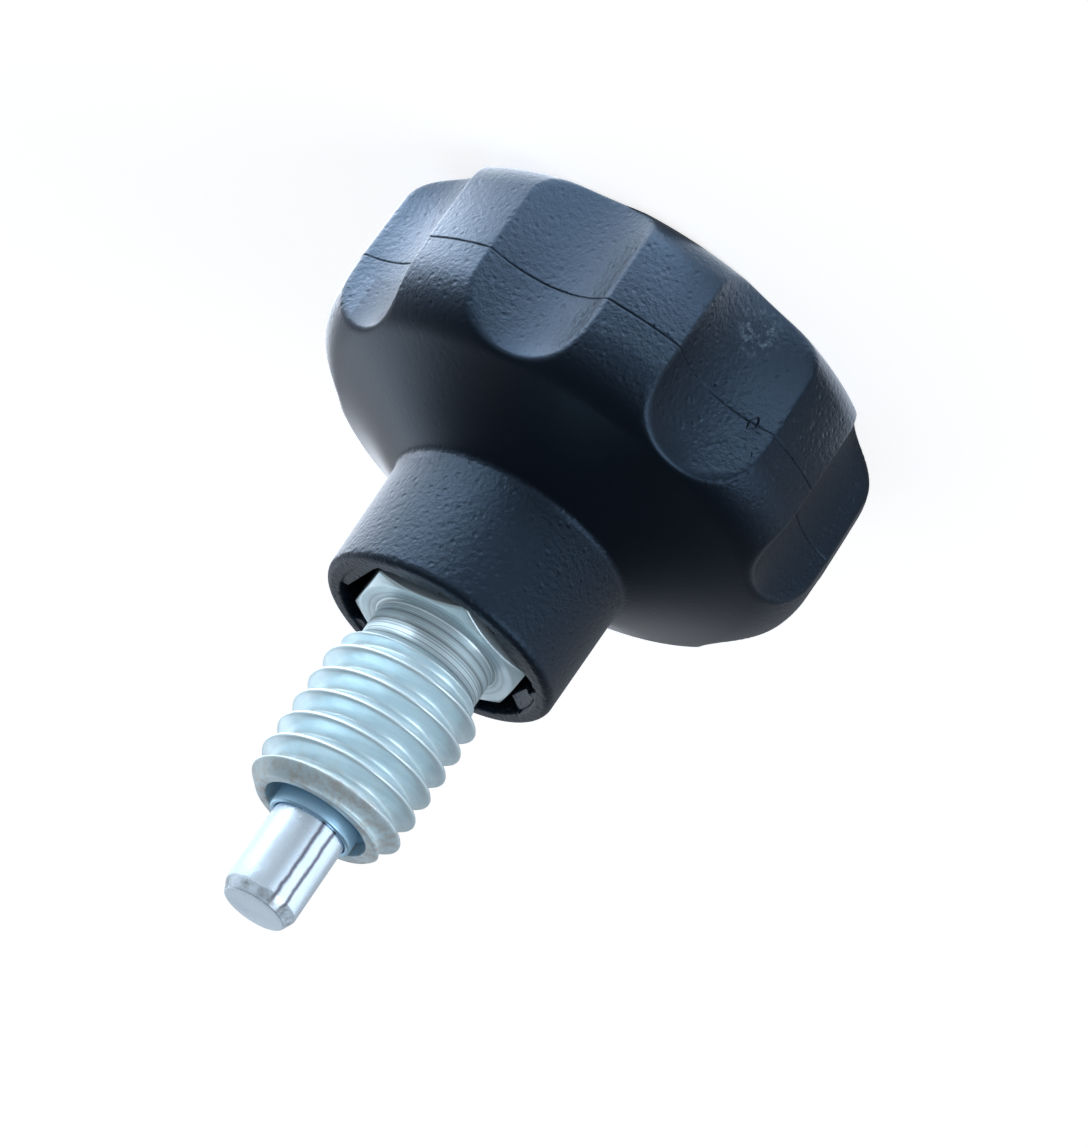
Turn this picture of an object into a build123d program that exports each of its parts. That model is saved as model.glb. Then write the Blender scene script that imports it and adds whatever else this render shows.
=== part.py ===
from build123d import *
import math
import os

os.makedirs("parts", exist_ok=True)

# A spring-loaded locking knob. A moulded plastic knob carries a steel pin that slides in a
# screw-in barrel. A coil spring keeps the pin out, and pulling the knob draws it in.
# The barrel's hexagon sits in a pocket in the knob's neck, so turning the seated knob
# screws the barrel in. Sizes are in millimetres.
# The origin is the centre of the knob's flat head, on which the part stands, and +Z runs
# along the axis towards the pin's tip.

# Moulded knob
knob_diameter = 31.75  # over the lobes, at the mould's parting line
parting_height = 6.6  # the parting line, above the head
side_height = 10.7  # where the lobes' side would meet the underside, were it not rounded
side_draft = 1.0  # degrees, on both sides of the parting line
head_edge_radius = 2.4
shoulder_radius = 4.0  # rounding between the lobes' side and the underside
underside_hollow = 0.15  # how far the underside dips below a straight cone
flute_count = 8
flute_radius = 5.4
flute_depth = 1.95
flute_turn = 22.5  # degrees from +X to the first flute

# The knob's neck
neck_diameter = 14.8  # at its mouth
neck_draft = 0.7  # degrees
neck_root_height = 15.0
neck_height = 22.8
neck_root_radius = 0.8
neck_mouth_radius = 0.5

# Hexagonal pocket in the neck's mouth
pocket_gap = 0.65  # round the barrel's hexagon, at the mouth
pocket_draft = 2.0  # degrees
pocket_corner_radius = 0.3
pocket_turn = -11.9  # degrees from +X to the first flat
relief_radius = 6.4  # every second corner of the pocket is opened out to this circle
relief_count = 3
relief_angle = 36.0  # degrees that each opened corner takes up
relief_turn = 23.1  # degrees from +X to the middle of the first one

# Threaded insert moulded into the knob
insert_diameter = 5.6
insert_length = 6.5
insert_edge = 0.4  # chamfer round both ends
insert_groove_depth = 0.4  # plastic flows into this groove and holds the insert
insert_groove_width = 1.6

# Barrel, turned from hexagon bar
hex_across_flats = 10.0
hex_height = 5.6
hex_proud = 0.1  # how far the hexagon's face stands out of the neck
hex_back_gap = 0.3  # between the hexagon and the pocket's floor
hex_chamfer_angle = 30.0  # degrees
hex_turn = -4.6  # degrees from +X to the first flat
barrel_reach = 12.7  # from the hexagon's face to the rim
thread_diameter = 9.5  # over the thread's crests
thread_root_diameter = 7.6
thread_pitch = 25.4 / 16  # 16 turns to the inch
thread_root_flat = 0.2
thread_angle = 60.0  # degrees between a groove's flanks
thread_start = 1.73  # from the rim to the middle of the first groove
thread_grooves = 6
undercut_diameter = 7.55
undercut_length = 2.2
undercut_fillet = 0.5
lead_chamfer = 0.85  # both ways, where the thread starts at the rim
rear_wall = 2.0  # behind the spring chamber
chamber_diameter = 6.0
mouth_bore_diameter = 6.5  # the guide bush is pressed in here

# Guide bush
bush_length = 2.6
bush_recess = 0.9  # from the rim down to the bush's shoulder
bush_nose_diameter = 5.2
bush_nose_proud = 0.65  # how far its nose stands out of the rim
bush_nose_chamfer = 0.2

# Plunger pin
pin_diameter = 4.5
pin_reach = 6.35  # from the rim to the pin's tip
pin_nose_length = 0.7  # the tapered end
pin_nose_inset = 0.33
pin_running_gap = 0.05  # round the pin in its bush
collar_length = 2.0
collar_gap = 0.1  # round the collar in the spring chamber
rod_diameter = 3.2
rod_gap = 0.1  # round the rod in the barrel's rear wall
tail_diameter = 3.0  # the threaded tail
tail_length = 5.2
tail_gap = 0.02  # round the tail in the insert's bore
tail_chamfer = 0.4
insert_floor = 0.9  # metal left under the tail's bore

# Return spring
spring_wire = 0.55
spring_diameter = 5.4  # outside
spring_coils = 7

# Heights worked out from the sizes above
hex_front = neck_height + hex_proud
hex_back = hex_front - hex_height
pocket_floor = hex_back - hex_back_gap
rim_height = hex_front + barrel_reach
chamber_floor = hex_back + rear_wall
bush_top = rim_height - bush_recess
bush_seat = bush_top - bush_length
bush_nose_top = rim_height + bush_nose_proud
pin_tip = rim_height + pin_reach
collar_back = bush_seat - collar_length
insert_bottom = pocket_floor - insert_length
tail_end = pocket_floor - tail_length
groove_bottom = pocket_floor - insert_length / 2 - insert_groove_width / 2
groove_top = groove_bottom + insert_groove_width
thread_back = hex_front + undercut_length

# Radii worked out from the sizes above
knob_radius = knob_diameter / 2
head_radius = knob_radius - parting_height * math.tan(math.radians(side_draft))
side_radius = knob_radius - (side_height - parting_height) * math.tan(math.radians(side_draft))
neck_radius = neck_diameter / 2
neck_root = neck_radius + (neck_height - neck_root_height) * math.tan(math.radians(neck_draft))
insert_radius = insert_diameter / 2
insert_waist = insert_radius - insert_groove_depth
pocket_across_flats = hex_across_flats + 2 * pocket_gap
hex_flat_radius = hex_across_flats / 2
hex_corner_radius = hex_across_flats / math.sqrt(3)
hex_chamfer_drop = (hex_corner_radius - hex_flat_radius) * math.tan(math.radians(hex_chamfer_angle))
thread_radius = thread_diameter / 2
thread_root_radius = thread_root_diameter / 2
thread_mouth = thread_root_flat + 2 * (thread_radius - thread_root_radius) * math.tan(
    math.radians(thread_angle / 2)
)
undercut_radius = undercut_diameter / 2
bush_radius = mouth_bore_diameter / 2
bush_nose_radius = bush_nose_diameter / 2
bush_bore_radius = pin_diameter / 2 + pin_running_gap
pin_radius = pin_diameter / 2
rod_radius = rod_diameter / 2
tail_radius = tail_diameter / 2
collar_radius = chamber_diameter / 2 - collar_gap
tail_bore_radius = tail_radius + tail_gap


def corner(sketch, x, y):
    """The sketch's vertex nearest to the point x, y of its own plane."""
    return sketch.vertices().sort_by_distance((x, y, 0))[0]


# The knob: one moulding, turned outline first, then the flutes and the sockets
with BuildPart() as knob:
    with BuildSketch(Plane.XZ) as outline:
        with BuildLine():
            Polyline(
                (0, neck_height),
                (0, 0),
                (head_radius, 0),
                (knob_radius, parting_height),
                (side_radius, side_height),
            )
            SagittaArc((side_radius, side_height), (neck_root, neck_root_height), underside_hollow)
            Polyline((neck_root, neck_root_height), (neck_radius, neck_height), (0, neck_height))
        make_face()
        fillet(corner(outline, head_radius, 0), head_edge_radius)
        fillet(corner(outline, side_radius, side_height), shoulder_radius)
        fillet(corner(outline, neck_root, neck_root_height), neck_root_radius)
        fillet(corner(outline, neck_radius, neck_height), neck_mouth_radius)
    revolve(axis=Axis.Z)

    # Finger flutes, straight along the axis. They run out where the underside and the
    # head's rounded edge curve inside their floors.
    with BuildSketch(Plane.XY):
        with PolarLocations(knob_radius - flute_depth + flute_radius, flute_count, flute_turn):
            Circle(flute_radius)
    extrude(amount=neck_root_height, mode=Mode.SUBTRACT)

    # Drafted hexagonal pocket for the barrel's head
    with BuildSketch(Plane.XY.offset(neck_height)) as pocket:
        RegularPolygon(pocket_across_flats / 2, 6, major_radius=False, rotation=pocket_turn)
        fillet(pocket.vertices(), pocket_corner_radius)
    extrude(amount=pocket_floor - neck_height, taper=pocket_draft, mode=Mode.SUBTRACT)
    with BuildSketch(Plane.XY.offset(neck_height)):
        sector_reach = 2 * relief_radius
        sector_half = sector_reach * math.tan(math.radians(relief_angle / 2))
        with PolarLocations(0, relief_count, relief_turn):
            Polygon((0, 0), (sector_reach, -sector_half), (sector_reach, sector_half), align=None)
        Circle(relief_radius, mode=Mode.INTERSECT)
    extrude(amount=pocket_floor - neck_height, mode=Mode.SUBTRACT)

    # The plastic round the insert, with the ring of plastic that fills its groove
    with BuildSketch(Plane.XZ):
        with BuildLine():
            insert_outline = Polyline(
                (0, insert_bottom),
                (insert_radius - insert_edge, insert_bottom),
                (insert_radius, insert_bottom + insert_edge),
                (insert_radius, groove_bottom),
                (insert_waist, groove_bottom),
                (insert_waist, groove_top),
                (insert_radius, groove_top),
                (insert_radius, pocket_floor - insert_edge),
                (insert_radius - insert_edge, pocket_floor),
                (0, pocket_floor),
                close=True,
            )
        make_face()
    revolve(axis=Axis.Z, mode=Mode.SUBTRACT)

# Metal insert that the plunger pin is screwed into
with BuildPart() as threaded_insert:
    with BuildSketch(Plane.XZ):
        with BuildLine():
            add(insert_outline)
        make_face()
    revolve(axis=Axis.Z)
    with Locations((0, 0, pocket_floor)):
        Hole(tail_bore_radius, insert_length - insert_floor)

# Barrel: a hexagonal head with its corners turned off, and a threaded cylinder with an
# undercut behind it. The thread is drawn as plain grooves, a pitch apart.
with BuildPart() as barrel:
    with BuildSketch(Plane.XY.offset(hex_back)):
        RegularPolygon(hex_flat_radius, 6, major_radius=False, rotation=hex_turn)
    extrude(amount=hex_height)
    with BuildSketch(Plane.XZ):
        with BuildLine():
            Polyline(
                (0, hex_back),
                (hex_flat_radius, hex_back),
                (hex_corner_radius, hex_back + hex_chamfer_drop),
                (hex_corner_radius, hex_front - hex_chamfer_drop),
                (hex_flat_radius, hex_front),
                (0, hex_front),
                close=True,
            )
        make_face()
    revolve(axis=Axis.Z, mode=Mode.INTERSECT)
    with BuildSketch(Plane.XZ) as turned:
        with BuildLine():
            Polyline(
                (0, hex_back),
                (undercut_radius, hex_back),
                (undercut_radius, thread_back),
                (thread_radius, thread_back + thread_radius - undercut_radius),
                (thread_radius, rim_height - lead_chamfer),
                (thread_radius - lead_chamfer, rim_height),
                (0, rim_height),
                close=True,
            )
        make_face()
        fillet(corner(turned, undercut_radius, thread_back), undercut_fillet)
    revolve(axis=Axis.Z)
    with BuildSketch(Plane.XZ):
        for turn in range(thread_grooves):
            with Locations((thread_root_radius, rim_height - thread_start - turn * thread_pitch)):
                Polygon(
                    (0, -thread_root_flat / 2),
                    (thread_radius - thread_root_radius, -thread_mouth / 2),
                    (thread_radius, -thread_mouth / 2),
                    (thread_radius, thread_mouth / 2),
                    (thread_radius - thread_root_radius, thread_mouth / 2),
                    (0, thread_root_flat / 2),
                    align=None,
                )
    revolve(axis=Axis.Z, mode=Mode.SUBTRACT)

    # Bores: the rod's hole through the rear wall, the spring chamber, the bush's seat
    with Locations((0, 0, rim_height)):
        Hole(rod_radius + rod_gap)
        Hole(chamber_diameter / 2, rim_height - chamber_floor)
        Hole(bush_radius, rim_height - bush_seat)

# Guide bush: its body fills the barrel's mouth bore, and its nose stands out of the rim
with BuildPart() as guide_bush:
    with BuildSketch(Plane.XZ):
        with BuildLine():
            Polyline(
                (bush_bore_radius, bush_seat),
                (bush_radius, bush_seat),
                (bush_radius, bush_top),
                (bush_nose_radius, bush_top),
                (bush_nose_radius, bush_nose_top - bush_nose_chamfer),
                (bush_nose_radius - bush_nose_chamfer, bush_nose_top),
                (bush_bore_radius, bush_nose_top),
                close=True,
            )
        make_face()
    revolve(axis=Axis.Z)

# Plunger pin: tapered end, guided diameter, collar, rod through the spring, threaded tail
with BuildPart() as plunger_pin:
    with BuildSketch(Plane.XZ):
        with BuildLine():
            Polyline(
                (0, tail_end),
                (tail_radius - tail_chamfer, tail_end),
                (tail_radius, tail_end + tail_chamfer),
                (tail_radius, pocket_floor),
                (rod_radius, pocket_floor),
                (rod_radius, collar_back),
                (collar_radius, collar_back),
                (collar_radius, bush_seat),
                (pin_radius, bush_seat),
                (pin_radius, pin_tip - pin_nose_length),
                (pin_radius - pin_nose_inset, pin_tip),
                (0, pin_tip),
                close=True,
            )
        make_face()
    revolve(axis=Axis.Z)

# Return spring, between the barrel's rear wall and the pin's collar
with BuildPart() as spring:
    coil_radius = (spring_diameter - spring_wire) / 2
    coil_height = collar_back - chamber_floor - spring_wire
    with BuildLine():
        coil = Helix(coil_height / spring_coils, coil_height, coil_radius)
        coil = coil.moved(Location((0, 0, chamber_floor + spring_wire / 2)))
        add(coil)
    with BuildSketch(Plane(origin=coil @ 0, z_dir=coil % 0)):
        Circle(spring_wire / 2)
    sweep(path=coil, is_frenet=True)

knob.part.label = "knob"
threaded_insert.part.label = "threaded_insert"
barrel.part.label = "barrel"
guide_bush.part.label = "guide_bush"
plunger_pin.part.label = "plunger_pin"
spring.part.label = "spring"

export_step(knob.part, "parts/knob.step")
export_step(threaded_insert.part, "parts/threaded_insert.step")
export_step(barrel.part, "parts/barrel.step")
export_step(guide_bush.part, "parts/guide_bush.step")
export_step(plunger_pin.part, "parts/plunger_pin.step")
export_step(spring.part, "parts/spring.step")
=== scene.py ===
import math

import bmesh
import bpy
import numpy as np
from mathutils import Matrix, Vector


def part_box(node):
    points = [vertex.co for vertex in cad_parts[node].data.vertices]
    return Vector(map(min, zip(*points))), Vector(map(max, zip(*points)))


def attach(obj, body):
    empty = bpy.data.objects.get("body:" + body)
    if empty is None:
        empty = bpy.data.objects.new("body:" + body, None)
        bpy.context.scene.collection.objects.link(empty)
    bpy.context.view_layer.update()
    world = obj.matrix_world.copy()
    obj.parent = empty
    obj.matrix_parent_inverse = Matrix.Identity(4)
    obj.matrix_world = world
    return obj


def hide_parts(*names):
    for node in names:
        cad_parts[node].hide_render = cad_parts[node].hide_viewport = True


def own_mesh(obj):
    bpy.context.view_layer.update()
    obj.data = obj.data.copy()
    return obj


# A spring-loaded locking knob: a black moulded knob with finger flutes, a zinc-plated barrel
# with a hexagon and a screw thread, a guide bush, a bright plunger pin, and inside them a
# return spring and a brass insert. It stands on the knob's head with the pin up, along +Z.
# Shapes and patterns are worked out in millimetres and turned to metres where they are built.
# The floor and the lights are placed in metres.

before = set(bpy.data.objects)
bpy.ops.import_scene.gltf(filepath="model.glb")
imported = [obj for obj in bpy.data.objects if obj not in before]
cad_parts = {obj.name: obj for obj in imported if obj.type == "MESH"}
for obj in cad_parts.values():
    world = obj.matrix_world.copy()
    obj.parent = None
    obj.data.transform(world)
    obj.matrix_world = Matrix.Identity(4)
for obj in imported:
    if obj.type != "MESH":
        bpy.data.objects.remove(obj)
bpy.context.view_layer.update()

MM = 0.001
same_point = 2e-7  # in metres: points closer together than this are merged
no_length = 1e-7  # in metres: an edge shorter than this is taken out


def lowest(node):
    """Height of a frame node's lowest point, in millimetres."""
    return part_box(node)[0][2] / MM


def highest(node):
    """Height of a frame node's highest point, in millimetres."""
    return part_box(node)[1][2] / MM


# Heights that the frame gives
neck_height = highest("knob")
insert_bottom = lowest("threaded_insert")
pocket_floor = highest("threaded_insert")
hex_back = lowest("barrel")
rim_height = highest("barrel")
bush_seat = lowest("guide_bush")
bush_nose_top = highest("guide_bush")
tail_end = lowest("plunger_pin")
pin_tip = highest("plunger_pin")

# Moulded knob
knob_radius = 15.875  # over the lobes, at the parting line
parting_height = 6.6
parting_nick_depth = 0.075
parting_nick_width = 0.045
parting_mismatch = 0.02  # how far the head's half stands out past the other
side_height = 10.7  # where the side would meet the underside, were it not rounded
side_draft = math.radians(1.0)
head_edge_radius = 2.4
shoulder_radius = 4.0
underside_hollow = 0.15  # how far the underside dips below a straight cone
hollow_rounding = 33.0
flute_count = 8
flute_radius = 5.4
flute_depth = 1.95
flute_turn = math.radians(22.5)
flute_edge = 0.32  # how wide the rounding along a flute's edge is
flutes_from = 10.0  # the radius outside which the flutes may cut
side_from = 12.0  # the radius outside which all is the head, and its parting line shows
neck_mouth_diameter = 14.8
neck_draft = math.radians(0.7)
neck_root_height = 15.0
neck_root_radius = 0.5
neck_mouth_radius = 0.5
pocket_gap = 0.65  # round the hexagon, at the mouth
pocket_draft = math.radians(2.0)
pocket_corner = 0.3
pocket_turn = math.radians(-11.9)
pocket_lip = 0.1  # rounding of the pocket's edge
relief_radius = 6.4  # every second corner of the pocket is opened out to this circle
relief_count = 3
relief_angle = math.radians(36.0)
relief_turn = math.radians(23.1)
core_radius = 6.35  # the mould's round core pin leaves a fine step in the mouth's flat
core_step = 0.1
core_step_width = 0.06
core_slit_depth = 0.18  # the slit along the step, at the land and the opened corners
core_slit_width = 0.03
land_turn = math.radians(168.1)  # one flat of the pocket stands in, and its top slopes
land_half_angle = math.radians(19)
land_inset = 0.3
land_slope = 0.45
insert_radius = 2.8
insert_edge = 0.4
insert_groove_depth = 0.4
insert_groove_width = 1.6

# Flash on the knob
flash_root = 0.03  # how deep a sliver starts inside the side
flash_end_radius = 0.008

# Barrel
hex_across_flats = 10.0
hex_height = 5.6
hex_chamfer = math.radians(30.0)
hex_turn = math.radians(-4.6)
hex_corner = 0.16  # rounding of the hexagon's upright edges
hex_edge = 0.12  # rounding between the hexagon's sides and its chamfered faces
thread_radius = 4.75
thread_pitch = 25.4 / 16
thread_depth = 0.6134 * thread_pitch
thread_crest = thread_pitch / 8
thread_flank = math.radians(30.0)
thread_rounding = 0.16
thread_start = 33.48  # height of one crest where it crosses the +X side
thread_rows_a_turn = 24
undercut_radius = 3.775
undercut_length = 2.2
undercut_root = 0.1  # the small bevel at its root
run_out_rounding = 0.12
lead_chamfer = 0.85
lead_rounding = 0.1
rim_break_height = 0.02  # its outer edge is just broken
rim_break_width = 0.03
rod_hole_radius = 1.7
chamber_radius = 3.0
rear_wall = 2.0
mouth_bore_radius = 3.25
rim_edge = 0.1

# Guide bush
bush_recess = 0.9
bush_nose_radius = 2.6
bush_bore_radius = 2.3
bush_edge = 0.14
bush_bore_edge = 0.08
bush_step_edge = 0.05

# Plunger pin
pin_radius = 2.25
pin_nose_length = 0.7
pin_nose_inset = 0.33
pin_nose_rounding = 0.35
pin_edge = 0.12
collar_radius = 2.9
collar_length = 2.0
collar_edge = 0.1
rod_radius = 1.6
tail_radius = 1.5
tail_chamfer = 0.4

# Return spring
spring_wire = 0.55
spring_radius = 2.425  # of the wire's centre line
spring_coils = 7

# How many points a piece's rings have
knob_columns = 536
barrel_columns = 324
turned_columns = 144

# Where the finishes lie. Each pair is where one is gone and where it is full
side_grain = (11.6, 9.2)  # height
neck_grain = (7.8, 7.55)  # radius
scuff_centre = (-5.45, -12.9, 1.9)  # a scuffed patch in a flute's floor
scuff_radius = 1.7
mark_radii = (1.85, 2.15)  # stains and the painted reflection stripes keep off the middle of the pin's end
hex_skin = 0.02  # how deep the hexagon's sides reach: they take the painted shade, and no tool lines
rim_stain_heights = (rim_height - 2.4, rim_height - 0.6)
tip_stain_heights = (pin_tip - 0.75, pin_tip - 0.3)
stripe_angle = math.radians(-112.7)  # the middle between the pin's two painted reflection stripes
stripe_half_angle = math.radians(10.2)

# Sizes of the patterns in the finishes
grain_size = 0.3
grain_depth = 0.12
pit_spacing = 0.62
shade_size = 6.0
fleck_size = 0.5
blot_size = 0.8
sway_length = 1.2  # along which a rubbed line sways

# Sizes worked out from those above
hex_front = hex_back + hex_height
hex_flat = hex_across_flats / 2
thread_back = hex_front + undercut_length
chamber_floor = hex_back + rear_wall
collar_back = bush_seat - collar_length
neck_mouth = neck_mouth_diameter / 2
neck_root = neck_mouth + (neck_height - neck_root_height) * math.tan(neck_draft)
head_radius = knob_radius - parting_height * math.tan(side_draft)
side_radius = knob_radius - (side_height - parting_height) * math.tan(side_draft)
flute_centre = knob_radius - flute_depth + flute_radius
flute_sector = math.tau / flute_count
flute_half_angle = math.acos(
    (knob_radius**2 + flute_centre**2 - flute_radius**2) / (2 * knob_radius * flute_centre)
)


# Shapes worked out with numpy


def rounded(corners, step):
    """Points along an outline in the half-plane (r, z). Each corner is (r, z, rounding), where a
    rounding above zero puts a circular arc there, tangent to both neighbours. Straight runs are
    divided at about the step, and arcs at the step or at 10 degrees, whichever is finer."""
    points = [np.array(corners[0][:2])]
    for before, corner, after in zip(corners, corners[1:], corners[2:] + [None]):
        tip, rounding = np.array(corner[:2]), corner[2]
        if after is None or rounding == 0:
            arc = [tip]
        else:
            back = np.array(before[:2]) - tip
            back /= np.linalg.norm(back)
            on = np.array(after[:2]) - tip
            on /= np.linalg.norm(on)
            half = math.acos(float(back @ on)) / 2
            centre = tip + (back + on) / np.linalg.norm(back + on) * rounding / math.sin(half)
            start = tip + back * rounding / math.tan(half) - centre
            end = tip + on * rounding / math.tan(half) - centre
            turn = math.pi - 2 * half
            count = math.ceil(max(rounding * turn / step, turn / math.radians(10))) + 1
            t = np.linspace(0, 1, count)[:, None]
            spokes = (np.sin((1 - t) * turn) * start + np.sin(t * turn) * end) / math.sin(turn)
            arc = list(centre + spokes)
        run = arc[0] - points[-1]
        count = max(1, math.ceil(np.linalg.norm(run) / step))
        points += [points[-1] + run * k / count for k in range(1, count)] + arc
    return np.array(points)


def crowded(count, centres, width, gain):
    """Angles once round the axis, closed, that lie closer together near the given centres: the
    density is 1 + gain * exp(-(distance to the nearest centre / width) squared)."""
    fine = np.linspace(0, math.tau, 20001)
    away = np.abs((fine[:, None] - centres + math.pi) % math.tau - math.pi).min(axis=1)
    density = 1 + gain * np.exp(-((away / width) ** 2))
    share = np.concatenate([[0], np.cumsum((density[1:] + density[:-1]) / 2)])
    return np.interp(np.linspace(0, share[-1], count + 1), share, fine)


def soft_least(a, b, width):
    """The smaller of a and b, with their crossing rounded over the width."""
    near = np.clip(width - np.abs(a - b), 0, None) / width
    return np.minimum(a, b) - near**2 * width / 4


def hexagon(angle, flat, corner, turn):
    """Distance from the axis to a hexagon's side. It is flat / cos(angle from the side's middle),
    and near a corner it is the far side of a circle of the corner's radius."""
    across = np.abs((angle - turn + math.pi / 6) % (math.pi / 3) - math.pi / 6)
    from_corner = math.pi / 6 - across
    centre = (flat - corner) / math.cos(math.pi / 6)
    arc_from = np.arctan((flat - corner) * math.tan(math.pi / 6) / flat)
    arc = centre * np.cos(from_corner) + np.sqrt(
        np.clip(corner**2 - (centre * np.sin(from_corner)) ** 2, 0, None)
    )
    return np.where(across < arc_from, flat / np.cos(across), arc)


def between(start, end, steps):
    """Rows that go evenly from start to end, without the start."""
    t = np.linspace(0, 1, steps + 1)[1:, None]
    return start + (end - start) * t


def closed_mesh(name, grid):
    """A smooth mesh object from a grid of points (row, column, xyz) in millimetres. Each quad joins
    neighbours in two rows and two columns, and points that fall together are merged."""
    rows, columns = grid.shape[:2]
    index = np.arange(rows * columns).reshape(rows, columns)
    quads = np.stack([index[:-1, :-1], index[:-1, 1:], index[1:, 1:], index[1:, :-1]], axis=-1)
    mesh = bpy.data.meshes.new(name)
    mesh.from_pydata((grid.reshape(-1, 3) * MM).tolist(), [], quads.reshape(-1, 4).tolist())
    edit = bmesh.new()
    edit.from_mesh(mesh)
    bmesh.ops.remove_doubles(edit, verts=edit.verts, dist=same_point)
    bmesh.ops.dissolve_degenerate(edit, dist=no_length, edges=edit.edges)
    edit.to_mesh(mesh)
    edit.free()
    mesh.shade_smooth()
    piece = bpy.data.objects.new(name, mesh)
    bpy.context.scene.collection.objects.link(piece)
    return piece


def ring_mesh(name, angle, r, z):
    """A closed piece from rows of rings. Point (i, j) is at the angle j, the radius r[i, j] and
    the height z[i, j]. The rows run outwards under the piece, up its side and in over its top."""
    return closed_mesh(name, np.stack([r * np.cos(angle), r * np.sin(angle), z], axis=-1))


def turned_mesh(name, outline):
    """A closed turned piece: the outline in the half-plane (r, z), carried once round the axis."""
    angle = np.linspace(0, math.tau, turned_columns + 1)
    r = np.repeat(outline[:, :1], len(angle), axis=1)
    z = np.repeat(outline[:, 1:], len(angle), axis=1)
    return ring_mesh(name, angle, r, z)


def wire_mesh(name, centre, out, radius, sides):
    """A closed round wire: circles of each row's radius about each row's centre, square to the
    path. The vector out gives each circle's first direction, and the ends close to a point."""
    along = np.gradient(centre, axis=0)
    along /= np.linalg.norm(along, axis=1)[:, None]
    across = np.cross(along, out)
    across /= np.linalg.norm(across, axis=1)[:, None]
    out = np.cross(across, along)
    centre, out, across = (np.concatenate([a[:1], a, a[-1:]]) for a in (centre, out, across))
    radius = np.concatenate([[0], radius, [0]])[:, None, None]
    around = np.linspace(0, math.tau, sides + 1)[None, :, None]
    circle = np.cos(around) * out[:, None] + np.sin(around) * across[:, None]
    return closed_mesh(name, centre[:, None] + radius * circle)


def wave_noise(angle, seed, low, high, count):
    """A smooth random line once round the axis, from -1 to 1: a sum of sines of whole turns."""
    draw = np.random.default_rng(seed)
    turns = draw.integers(low, high, count)
    phase = draw.uniform(0, math.tau, count)
    weight = draw.uniform(0.4, 1.0, count)
    line = (np.sin(angle[:, None] * turns + phase) * weight).sum(axis=1)
    return line / np.abs(line).max()


# Materials


def linear(colour):
    """An sRGB hex colour as linear red, green, blue and an alpha of 1."""
    parts = [int(colour[i : i + 2], 16) / 255 for i in (1, 3, 5)]
    return [p / 12.92 if p <= 0.04045 else ((p + 0.055) / 1.055) ** 2.4 for p in parts] + [1.0]


def add(tree, kind, links=(), **settings):
    """Adds a node to the tree. A setting that names an input of the node sets that input, and any
    other sets the node itself. Each link is (output socket or plain value, input name or number)."""
    node = tree.nodes.new(kind)
    for key, value in settings.items():
        if hasattr(node, key):
            setattr(node, key, value)
        else:
            node.inputs[key.replace("_", " ")].default_value = value
    for source, place in links:
        if isinstance(source, bpy.types.NodeSocket):
            tree.links.new(source, node.inputs[place])
        else:
            node.inputs[place].default_value = source
    return node


def new_material(name):
    """A material without nodes, and its node tree."""
    material = bpy.data.materials.new(name)
    material.use_nodes = True
    material.node_tree.nodes.clear()
    return material, material.node_tree


def from_axis(tree, place):
    """The distance of a place from the Z axis: the length of its x and y alone."""
    level = add(tree, "ShaderNodeVectorMath", [(place, 0), ((1, 1, 0), 1)], operation="MULTIPLY")
    distance = add(tree, "ShaderNodeVectorMath", [(level.outputs[0], 0)], operation="LENGTH")
    return distance.outputs["Value"]


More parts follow.
